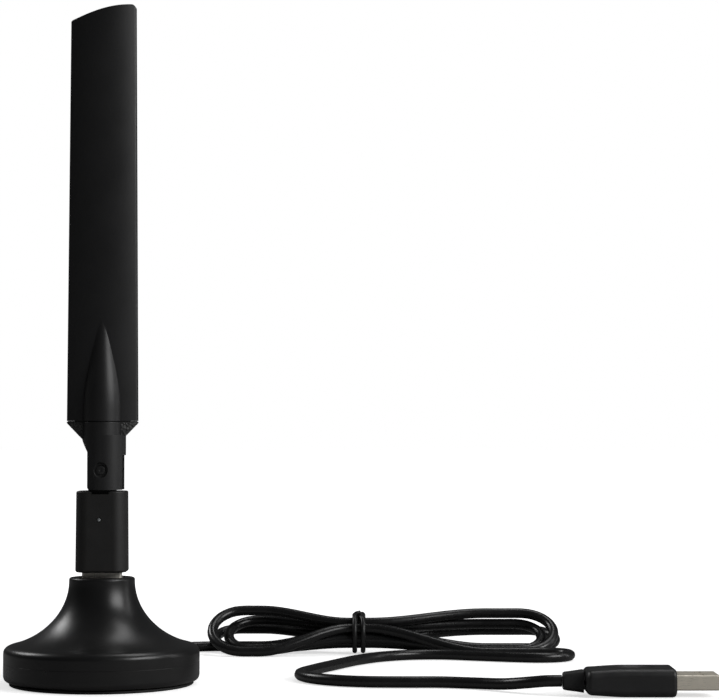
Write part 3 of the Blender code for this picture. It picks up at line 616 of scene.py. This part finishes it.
def adapter_half(name, node, side, material):
    """One moulded half of the case, with softened edges and a hairline joint to the other half."""
    rings = [adapter_ring(ADAPTER_BOTTOM + reach, inset) for reach, inset in quarter_round(0.8)]
    top_edge = reversed(quarter_round(0.45, 5))
    rings += [adapter_ring(ADAPTER_TOP - reach, inset) for reach, inset in top_edge]
    shell = new_piece(name, loft(rings), material)
    boolean(shell, loft([adapter_ring(height, 1.2) for height in (ADAPTER_BOTTOM + 1.2, 52.8)]))
    bearing = [(0.0, 51.0), (1.0, 51.0), (1.0, 54.3), (5.5, 54.3), (5.5, 56.7), (4.4, 56.7),
               (4.4, DISH_FLOOR), (DISH_RADIUS, DISH_FLOOR), (DISH_RADIUS, 61.0), (0.0, 61.0)]
    boolean(shell, turned(bearing, 96))
    boolean(shell, box((-6.3, 6.3), (-2.55, 2.55), (33.0, 37.0)))
    if side < 0:
        boolean(shell, rod(0.7, -9.0, -4.0, "Y", (LED_PLACE[0], 0.0, LED_PLACE[1]), 32))
    joint_gap = 0.03
    other_half = (-joint_gap, 12.0) if side < 0 else (-12.0, joint_gap)
    boolean(shell, box((-12.0, 12.0), other_half, (30.0, 65.0)))
    soften(shell, 0.1, 50.0)
    return finish_piece(shell, "adapter", [node], 30.0)


# ---------------------------------------------------------------- antenna joint

def make_knuckle(materials):
    """Captive swivel: a flanged foot inside the case and the tongue that carries the pin."""
    post = [(0.0, 54.6), (5.2, 54.6), (5.2, 56.4),
            (TONGUE_RADIUS, 56.4), (TONGUE_RADIUS, 59.4), (0.0, 59.4)]
    knuckle = new_piece("swivel_knuckle_fine", turned(post, 72), materials["blade_plastic"])
    side = [(-TONGUE_RADIUS, 59.0), (TONGUE_RADIUS, 59.0)]
    side += arc((0.0, TILT_HEIGHT), TONGUE_RADIUS, 0.0, 180.0, 32)
    boolean(knuckle, loft([[(x, y, z) for x, z in side] for y in (-TONGUE_HALF, TONGUE_HALF)]), "UNION")
    for near, far in ((-9.0, -TONGUE_HALF), (TONGUE_HALF, 9.0)):
        boolean(knuckle, box((-9.0, 9.0), (near, far), (DISH_FLOOR - 0.1, 64.0)))
    boolean(knuckle, rod(PIN_BORE, -6.0, 6.0, "Y", (0.0, 0.0, TILT_HEIGHT), 40))
    boolean(knuckle, box((-7.0, 1.2), (-1.3, 1.3), (60.6, 72.0)))
    boolean(knuckle, rod(0.9, 50.0, 61.5, segments=24))
    finish_piece(knuckle, "knuckle", ["swivel_knuckle"])


def make_pins(materials):
    """Stub pins with a shallow centre mark on their visible ends."""
    for name, side in (("hinge_pin_front", -1.0), ("hinge_pin_back", 1.0)):
        profile = [(0.0, 1.6), (1.25, 1.6), (PIN_RADIUS, 1.8), (PIN_RADIUS, PIN_END - 0.25),
                   (1.38, PIN_END - 0.08), (1.2, PIN_END), (0.55, PIN_END), (0.45, PIN_END - 0.1),
                   (0.0, PIN_END - 0.15)]
        placed = [(radius, side * height) for radius, height in profile]
        bm = turned(placed, 40, "Y", (0.0, 0.0, TILT_HEIGHT))
        finish_piece(new_piece(name + "_fine", bm, materials["blade_plastic"]), "paddle", [name])


# ---------------------------------------------------------------- paddle

def lens_half_thickness(share):
    """Half of the paddle's thickness at share of the way from the middle to an edge."""
    swell = (MIDDLE_HALF_THICKNESS - EDGE_HALF_THICKNESS) * (1.0 - share * share)
    return EDGE_HALF_THICKNESS + swell


def paddle_half_width(height):
    share = (height - SEAM) / (PADDLE_TOP_RIGHT - SEAM)
    return PADDLE_HALF_FOOT + (PADDLE_HALF_HEAD - PADDLE_HALF_FOOT) * share


def paddle_top(share):
    """Height of the blade's end, slanting up to the right and dropping a little at the corner."""
    across = (share + 1.0) / 2.0
    slope = PADDLE_TOP_LEFT + (PADDLE_TOP_RIGHT - PADDLE_TOP_LEFT) * math.sin(across * math.pi / 2)
    corner_start = 0.9
    corner_drop = 0.9
    return slope - corner_drop * max(0.0, (share - corner_start) / (1.0 - corner_start)) ** 2


def lens_outline(inset, edge_round=0.45, steps=44):
    """(share, half thickness) pairs right round the paddle's section, with rounded edges."""
    edge_fall = 0.6
    least = 0.05
    shares = [math.sin(math.pi / 2 * (2.0 * i / steps - 1.0)) for i in range(steps + 1)]
    around = []
    for side, row in ((-1.0, shares), (1.0, shares[::-1])):
        for share in row:
            edge_start = PADDLE_HALF_FOOT - edge_round
            near_edge = max(0.0, (abs(share) * PADDLE_HALF_FOOT - edge_start) / edge_round)
            thick = lens_half_thickness(share) - inset
            thick -= edge_fall * (1.0 - math.sqrt(max(0.0, 1.0 - min(near_edge, 1.0) ** 2)))
            around.append((share, side * max(thick, least)))
    return around


def spread_shares(reach, steps):
    """Even shares from -reach to reach across the paddle."""
    return [reach * (2.0 * i / steps - 1.0) for i in range(steps + 1)]


def lens_slab(reach, steps, inset, low, high):
    """Solid across the paddle, thinner than its section by inset on each face."""
    rings = []
    for share in spread_shares(reach, steps):
        x, thick = share * PADDLE_HALF_FOOT, lens_half_thickness(share) - inset
        rings.append([(x, -thick, low), (x, -thick, high), (x, thick, high), (x, thick, low)])
    return loft(rings)


def blade_ring(fraction, inset, drop):
    """Ring at a fraction of the way up the blade, following its slanted end."""
    ring = []
    for share, thick in lens_outline(inset):
        height = SEAM + SEAM_GAP + fraction * (paddle_top(share) - SEAM - SEAM_GAP) - drop
        half_width = paddle_half_width(height) - inset
        ring.append((share * half_width, thick, height))
    return ring


def ogive_profile(inset, bottom, top, steps=48):
    """(radius, height) points of the rise that carries the round neck up the blade."""
    points = [(0.0, bottom)]
    for i in range(steps + 1):
        height = bottom + (top - bottom) * i / steps
        fall = smooth_step(height - SEAM, *OGIVE_RISE)
        points.append((OGIVE_RADIUS - (OGIVE_RADIUS - OGIVE_TIP) * fall - inset, height))
    return points + [(0.0, top)]


def make_blade(materials):
    """Hollow blade with rounded edges, carrying the neck's roundness up in a pointed rise."""
    rings = [blade_ring(i / 40, 0.0, 0.0) for i in range(40)]
    rings += [blade_ring(1.0, inset, reach) for reach, inset in reversed(quarter_round(0.55, 7))]
    blade = new_piece("paddle_blade", loft(rings), materials["blade_plastic"])
    boolean(blade, turned(ogive_profile(0.0, SEAM + SEAM_GAP, SEAM + OGIVE_RISE[1]), 128), "UNION")
    hollow = []
    for share in spread_shares(0.87, 24):
        low, high = SEAM - 3.0, paddle_top(share) - 1.6
        thick = lens_half_thickness(share) - 1.0
        x_low, x_high = share * paddle_half_width(low), share * paddle_half_width(high)
        hollow.append([(x_low, -thick, low), (x_high, -thick, high),
                       (x_high, thick, high), (x_low, thick, low)])
    boolean(blade, loft(hollow))
    boolean(blade, turned(ogive_profile(1.0, SEAM - 2.0, SEAM + OGIVE_RISE[1] - 4.0, 20), 48))
    finish_piece(blade, "paddle", ["paddle_cover"], 24.0)


def make_cap(materials):
    """Forked round neck and chamfered wings; the wings' chamfers carry a coarse texture."""
    cap_top = SEAM - SEAM_GAP
    neck = [(0.0, FORK_BOTTOM - 1.0), (NECK_POST, FORK_BOTTOM - 1.0)]
    neck += arc((NECK_POST - 0.2, cap_top - 0.2), 0.2, 0.0, 90.0, 5) + [(0.0, cap_top)]
    fork = new_piece("paddle_cap_fine", turned(neck, 128), materials["blade_plastic"])
    ears = rod(NECK_POST, FORK_BOTTOM - 1.0, EAR_TOP, segments=128)
    ear_half = FORK_RIGHT - 0.5
    bmesh.ops.scale(ears, vec=(ear_half / NECK_POST, 1.0, 1.0), verts=ears.verts)
    bmesh.ops.translate(ears, vec=(FORK_RIGHT - ear_half, 0.0, 0.0), verts=ears.verts)
    boolean(fork, ears, "UNION")
    side = [(FORK_FLAT, 71.2)]
    side += arc((FORK_FLAT + 0.9, FORK_BOTTOM + 0.9), 0.9, 180.0, 270.0, 10)
    side += arc((FORK_RIGHT - 0.8, FORK_BOTTOM + 1.0), 1.0, 270.0, 350.0, 10)
    side += [(FORK_RIGHT + 1.0, FORK_BOTTOM + 1.6), (FORK_RIGHT + 1.0, 84.0), (-8.0, 84.0), (-8.0, 78.4)]
    boolean(fork, loft([[(x, y, z) for x, z in side] for y in (-9.0, 9.0)]), "INTERSECT")

    rings = []
    wing_top = cap_top - 0.02
    for share in spread_shares(1.0, 48):
        low = max(cap_top - 0.4 - (1.0 - abs(share)) * PADDLE_HALF_FOOT, WING_FOOT)
        x, thick = share * PADDLE_HALF_FOOT, lens_half_thickness(share)
        rings.append([(x, -thick, low), (x, -thick, wing_top), (x, thick, wing_top), (x, thick, low)])
    wings = new_piece("wings", loft(rings), materials["blade_plastic"])
    soften(wings, 0.18, 40.0, 3)
    graft = bmesh.new()
    graft.from_mesh(wings.data)
    bmesh.ops.scale(graft, vec=(1 / MM, 1 / MM, 1 / MM), verts=graft.verts)
    bpy.data.objects.remove(wings, do_unlink=True)
    boolean(fork, graft, "UNION")

    spigot = lens_slab(0.79, 12, 1.3, 78.3, 83.6)
    boolean(fork, spigot, "UNION")
    seam_backing = lens_slab(0.97, 24, 0.35, 79.6, SEAM + SEAM_GAP - 0.02)
    boolean(fork, seam_backing, "UNION")
    boolean(fork, rod(4.9, 77.9, 83.1, segments=48), "UNION")
    boolean(fork, box((-9.0, 9.0), (-SLOT_HALF, SLOT_HALF), (FORK_BOTTOM - 3.0, SLOT_TOP)))
    bore = PIN_RADIUS + 0.08
    half_hole = [(bore, 5.3), (2.0, 5.3), (2.05, 5.7), (2.5, 6.2), (2.5, 8.0), (0.0, 8.0)]
    pin_hole = [(radius, -height) for radius, height in reversed(half_hole)] + half_hole
    boolean(fork, turned(pin_hole, 40, "Y", (0.0, 0.0, TILT_HEIGHT)))
    channel = [(0.0, 68.0), (0.9, 68.0), (0.9, 75.0), (2.3, 76.5), (2.3, 86.0), (0.0, 86.0)]
    boolean(fork, turned(channel, 24))
    fork.data.materials.append(materials["wing_texture"])
    for face in fork.data.polygons:
        x, z = abs(face.center.x) / MM, face.center.z / MM
        on_wing = x > 6.0 and WING_FOOT - 0.4 < z < cap_top - 0.25
        if on_wing and abs(face.normal.x) < 0.98:
            face.material_index = 1
    finish_piece(fork, "paddle", ["paddle_cap"], 28.0)


# ---------------------------------------------------------------- cord

LEAD_ROUTE = (
    (0.0, RELIEF_END + 0.3, RELIEF_HEIGHT),
    (0.0, 46.0, 6.4),
    (0.1, 54.0, 5.2),
    (0.7, 63.0, 3.2),
    (2.2, 72.0, CORD_REST),
    (5.2, 81.0, CORD_REST),
    (10.5, 89.5, CORD_REST),
    (18.0, 95.6, CORD_REST),
    (27.5, 98.6, CORD_REST),
)
TAIL_ROUTE = (
    (145.3, 76.2, CORD_REST),
    (149.2, 73.2, CORD_REST),
    (150.3, 69.0, CORD_REST),
    (149.0, 64.8, CORD_REST),
    (145.4, 61.4, CORD_REST),
    (139.5, 60.0, CORD_REST),
    (131.0, 61.8, CORD_REST),
    (119.0, 66.0, CORD_REST),
    (107.0, 70.2, CORD_REST),
    (96.0, 69.0, CORD_REST),
    (86.5, 63.0, CORD_REST),
    (78.5, 52.5, CORD_REST),
    (70.9, 37.1, CORD_REST),
    (64.2, 22.0, CORD_REST),
    (60.6, 10.5, CORD_REST),
    (63.5, 1.0, CORD_REST),
    (71.0, -6.5, CORD_REST),
    (81.0, -10.5, CORD_REST),
    (92.0, -11.4, CORD_REST),
    (104.0, -11.6, CORD_REST),
    (114.0, -14.5, CORD_REST),
    (122.5, -20.5, 2.3),
    (129.0, -26.3, 3.4),
    (134.0, -29.2, 4.15),
    (PLUG_RELIEF_START - 0.3, PLUG_AXIS[0], PLUG_AXIS[1]),
)


def waist_slot(angle):
    """Y and Z of a strand in the tie: the middle for None, or a place on the ring round it."""
    if angle is None:
        return WAIST
    turn = math.radians(angle)
    return WAIST[0] + WAIST_PITCH * math.cos(turn), WAIST[1] + WAIST_PITCH * math.sin(turn)


# Folds of the hank in the order the cord takes them: X of the fold's end, then Y and Z of its
# upper and its lower strand
RIGHT_FOLDS = (
    (148.0, (109.5, 6.5), (92.0, CORD_REST)),
    (142.5, (101.0, 9.5), (84.4, CORD_REST)),
    (146.5, (100.0, 13.3), (80.9, CORD_REST)),
)
LEFT_FOLDS = (
    (28.8, (107.0, 7.2), (91.0, CORD_REST)),
    (33.7, (102.5, 10.6), (84.0, CORD_REST)),
    (28.2, (98.0, 14.4), (80.5, CORD_REST)),
)
# Where each turn's returning strand and the outgoing one after it lie in the tie, in degrees
# round the strand in its middle
TIE_ANGLES = ((330, 270), (30, 210), (90, 150))
LEAD_IN = (34.0, (99.0, CORD_REST))         # X, then Y and Z, where the cord enters the hank
LEAD_OUT = (139.0, (77.4, CORD_REST))       # and where it leaves


def fold_radius(turn):
    _, high, low = turn
    return math.dist(high, low) / 2


def strand(left, right, slot_angle, left_x, right_x, step=3.0):
    """Points of one run from left to right, drawn in to its place in the tie."""
    slot = waist_slot(slot_angle)
    front_strand = slot_angle == TIE_ANGLES[-1][1]
    early = 0.65 if front_strand else 1.0       # it spreads early, clear of the one below
    points = []
    count = round((right_x - left_x) / step)
    for i in range(count + 1):
        x = left_x + (right_x - left_x) * i / count
        if x < TIE_PLACE:
            end, spread = left, smooth_step(TIE_PLACE - 4.0 - x, 0.0, 30.0)
        else:
            end, spread = right, smooth_step(x - TIE_PLACE - 4.0, 0.0, 40.0)
        points.append((x, slot[0] + (end[0] - slot[0]) * spread ** early,
                       slot[1] + (end[1] - slot[1]) * spread))
    return points


def fold(tip_x, start, end, direction, step_angle=15):
    """Half circle from start to end in the plane they share with the X axis.

    direction is 1 for a tip towards +X and -1 for one towards -X.
    """
    radius = math.dist(start, end) / 2
    middle = ((start[0] + end[0]) / 2, (start[1] + end[1]) / 2)
    points = []
    for angle in range(step_angle, 180, step_angle):
        turn = math.radians(angle)
        along = math.cos(turn)
        points.append((tip_x - direction * radius * (1.0 - math.sin(turn)),
                       middle[0] + (start[0] - middle[0]) * along,
                       middle[1] + (start[1] - middle[1]) * along))
    return points


def hank_points():
    """The seven runs through the tie and the six folds between them, in the order the cord takes."""
    points = []
    start_x, start = LEAD_IN
    slot_angle = None
    for right, left, (back_angle, next_angle) in zip(RIGHT_FOLDS, LEFT_FOLDS, TIE_ANGLES):
        right_tip, right_high, right_low = right
        left_tip, left_high, left_low = left
        right_x = right_tip - fold_radius(right)
        left_x = left_tip + fold_radius(left)
        points += strand(start, right_low, slot_angle, start_x, right_x)
        points += fold(right_tip, right_low, right_high, 1)
        points += strand(left_high, right_high, back_angle, left_x, right_x)[::-1]
        points += fold(left_tip, left_high, left_low, -1)
        start_x, start, slot_angle = left_x, left_low, next_angle
    end_x, end = LEAD_OUT
    return points + strand(start, end, slot_angle, start_x, end_x)


PYRAMID = (((0, 1), (1, 2), (2, 3)), ((0, 2), (1, 3)), ((1, 2),))


def curve_point(quad, knots, t):
    """Point at t on the curve through the middle two of four points, by Barry and Goldman's pyramid."""
    level = list(quad)
    for spans in PYRAMID:
        level = [((knots[b] - t) * level[k] + (t - knots[a]) * level[k + 1]) / (knots[b] - knots[a])
                 for k, (a, b) in enumerate(spans)]
    return level[0]


def smooth_route(points, spacing):
    """Evenly spaced points on a centripetal Catmull-Rom curve through the given points."""
    points = np.array(points)
    ends = np.vstack([2 * points[0] - points[1], points, 2 * points[-1] - points[-2]])
    dense = []
    for i in range(len(points) - 1):
        quad = ends[i:i + 4]
        steps = np.linalg.norm(np.diff(quad, axis=0), axis=1) ** 0.5
        knots = np.concatenate([[0.0], np.cumsum(steps)])
        times = np.linspace(knots[1], knots[2], 12, endpoint=False)
        dense += [curve_point(quad, knots, t) for t in times]
    dense = np.array(dense + [points[-1]])
    travelled = np.concatenate([[0.0], np.cumsum(np.linalg.norm(np.diff(dense, axis=0), axis=1))])
    wanted = np.linspace(0.0, travelled[-1], round(travelled[-1] / spacing) + 1)
    return np.column_stack([np.interp(wanted, travelled, dense[:, k]) for k in range(3)])


def tube(name, points, radius, material, sides=4):
    curve = bpy.data.curves.new(name, "CURVE")
    curve.dimensions = "3D"
    curve.bevel_depth = radius * MM
    curve.bevel_resolution = sides
    curve.use_fill_caps = True
    spline = curve.splines.new("POLY")
    spline.points.add(len(points) - 1)
    for target, point in zip(spline.points, points):
        target.co = (*(np.array(point) * MM), 1.0)
    spline.use_smooth = True
    curve.materials.append(material)
    obj = bpy.data.objects.new(name, curve)
    bpy.context.collection.objects.link(obj)
    return obj


def make_cord(materials):
    route = smooth_route(list(LEAD_ROUTE) + hank_points() + list(TAIL_ROUTE), 2.0)
    cord = tube("cord", route, CORD_RADIUS, materials["cord_jacket"], 6)
    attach(cord, "base")
    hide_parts("cord_lead", "cord_hank", "cord_tail")


def make_tie(materials):
    """Plastic-coated wire: two snug turns round the bundle, their ends tucked together on top."""
    reach = WAIST_PITCH + CORD_RADIUS + 0.05 + TIE_WIRE
    half_spacing = 1.45
    turns = 2
    steps = 30
    points = []
    for i in range(turns * steps + 1):
        share = i / (turns * steps)
        angle = 2.0 * math.pi * turns * share + math.radians(80.0)
        side = -1.0 if share < 0.5 else 1.0
        shift = TIE_PLACE + half_spacing * side * min(1.0, abs(share - 0.5) * 14.0)
        points.append((shift, WAIST[0] + reach * math.cos(angle), WAIST[1] + reach * math.sin(angle)))
    top = WAIST[1] + reach
    first = [(TIE_PLACE + 0.4, WAIST[0] + 2.0, top + 0.6), (TIE_PLACE - 0.9, WAIST[0] + 1.4, top + 0.3)]
    last = [(TIE_PLACE + 1.0, WAIST[0] - 0.9, top + 0.4), (TIE_PLACE + 0.1, WAIST[0] - 2.6, top + 0.1)]
    route = smooth_route(first + points + last, 0.5)
    tie = tube("tie_wire", route, TIE_WIRE, materials["tie_jacket"], 5)
    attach(tie, "base")
    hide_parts("hank_tie")
    return tie


# ---------------------------------------------------------------- cable plug

def make_plug_body(materials):
    """Overmoulded grip: rounded all over, with an oval thumb recess on its upper face."""
    axis_y, axis_z = PLUG_AXIS
    stations = [(PLUG_BODY_START + reach, inset) for reach, inset in quarter_round(1.7, 8)]
    stations += [(PLUG_BODY_START + reach, 0.0) for reach in range(3, 13)]
    stations += [(PLUG_BODY_END - reach, inset) for reach, inset in reversed(quarter_round(1.1, 7))]
    rings = []
    for x, inset in stations:
        lean = 0.6 * (1.0 - smooth_step(x - PLUG_BODY_START, -1.0, 12.0))
        half_height = PLUG_BODY_HALF_HEIGHT - inset - lean
        outline = rounded_rectangle(PLUG_BODY_HALF_WIDTH - inset, half_height, 2.3, 10)
        rings.append([(x, axis_y + across, axis_z + up) for across, up in outline])
    body = new_piece("cable_plug_grip", loft(rings), materials["plug_grip"])
    boolean(body, box((165.8, 174.0), (axis_y - 6.15, axis_y + 6.15), (axis_z - 2.4, axis_z + 2.4)))
    recess = bmesh.new()
    bmesh.ops.create_uvsphere(recess, u_segments=96, v_segments=48, radius=1.0)
    bmesh.ops.scale(recess, vec=(8.2, 5.3, 2.2), verts=recess.verts)
    recess_x = (PLUG_BODY_START + PLUG_BODY_END) / 2 + 0.5
    recess_z = axis_z + PLUG_BODY_HALF_HEIGHT + 1.0
    bmesh.ops.translate(recess, vec=(recess_x, axis_y, recess_z), verts=recess.verts)
    boolean(body, recess)
    return finish_piece(body, "base", ["cable_plug_body"], 26.0)


def make_plug_relief(materials):
    """Short tapered sleeve with softened square section between cord and grip."""
    axis_y, axis_z = PLUG_AXIS
    rings = []
    stations = ((0.0, 2.25, 1.6), (0.15, 2.5, 1.7), (0.6, 2.62, 1.6), (3.5, 2.95, 1.3), (6.0, 3.25, 1.1))
    for along, half, corner in stations:
        x = PLUG_RELIEF_START + along
        outline = rounded_rectangle(half, half, corner, 8)
        rings.append([(x, axis_y + across, axis_z + up) for across, up in outline])
    relief = new_piece("cable_plug_sleeve", loft(rings), materials["soft_rubber"])
    return finish_piece(relief, "base", ["cable_plug_relief"], 40.0)


def cable_plug_place():
    """Matrix that puts a plug shell at the cord's end, its tip towards +X and its seam side down."""
    rotation = Matrix(((0.0, 0.0, -1.0), (-1.0, 0.0, 0.0), (0.0, 1.0, 0.0))).to_4x4()
    return Matrix.Translation(Vector((CABLE_PLUG_TIP, *PLUG_AXIS)) * MM) @ rotation


# ---------------------------------------------------------------- carried-over CAD nodes

def dress_frame(materials):
    """Finishes of the CAD's own nodes that no finer piece replaces."""
    finishes = {
        "zinc_steel": ["base_plate", "plate_screw_1", "plate_screw_2", "plate_screw_3", "shield_can"],
        "weight_steel": ["base_weight"],
        "white_insulator": ["socket_tongue", "usb_plug_tongue", "cable_plug_tongue"],
        "circuit_board": ["socket_board", "adapter_board", "antenna_board"],
        "copper_foil": ["radiator_upper", "radiator_lower"],
        "cord_jacket": ["inner_lead", "coax_lower", "coax_upper"],
        "adapter_plastic": ["chip"],
        "led_lens": ["led_lens"],
        "gold_contact": [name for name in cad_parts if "contact" in name],
    }
    for finish, names in finishes.items():
        for name in names:
            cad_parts[name].material_slots[0].material = materials[finish]


# ---------------------------------------------------------------- assembly

def main():
    make_camera()
    make_light()
    make_floor()
    materials = make_materials()
    dress_frame(materials)
    on_cord = [make_strain_relief(materials), make_tie(materials), make_plug_body(materials),
               make_plug_relief(materials)]
    # The lying cable plug shell takes the darker steel, whose colour is painted shade.
    on_cord.append(usb_shell("cable_plug_shell_fine", "cable_plug_shell", "base", cable_plug_place(),
                             materials["plug_steel_lying_painted_shade"]))
    on_cord += [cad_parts[name] for name in sorted(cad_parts)
                if name.startswith("cable_plug_contact") or name == "cable_plug_tongue"]
    make_cord(materials)
    make_base(materials)
    make_socket(materials)
    usb_shell("usb_plug_shell_fine", "usb_plug_shell", "adapter",
              Matrix.Translation((0.0, 0.0, PLUG_TIP * MM)), materials["plug_steel"])
    adapter_half("adapter_front_fine", "adapter_front_shell", -1, materials["adapter_plastic"])
    adapter_half("adapter_back_fine", "adapter_back_shell", 1, materials["adapter_plastic"])
    make_knuckle(materials)
    make_pins(materials)
    make_blade(materials)
    make_cap(materials)


main()
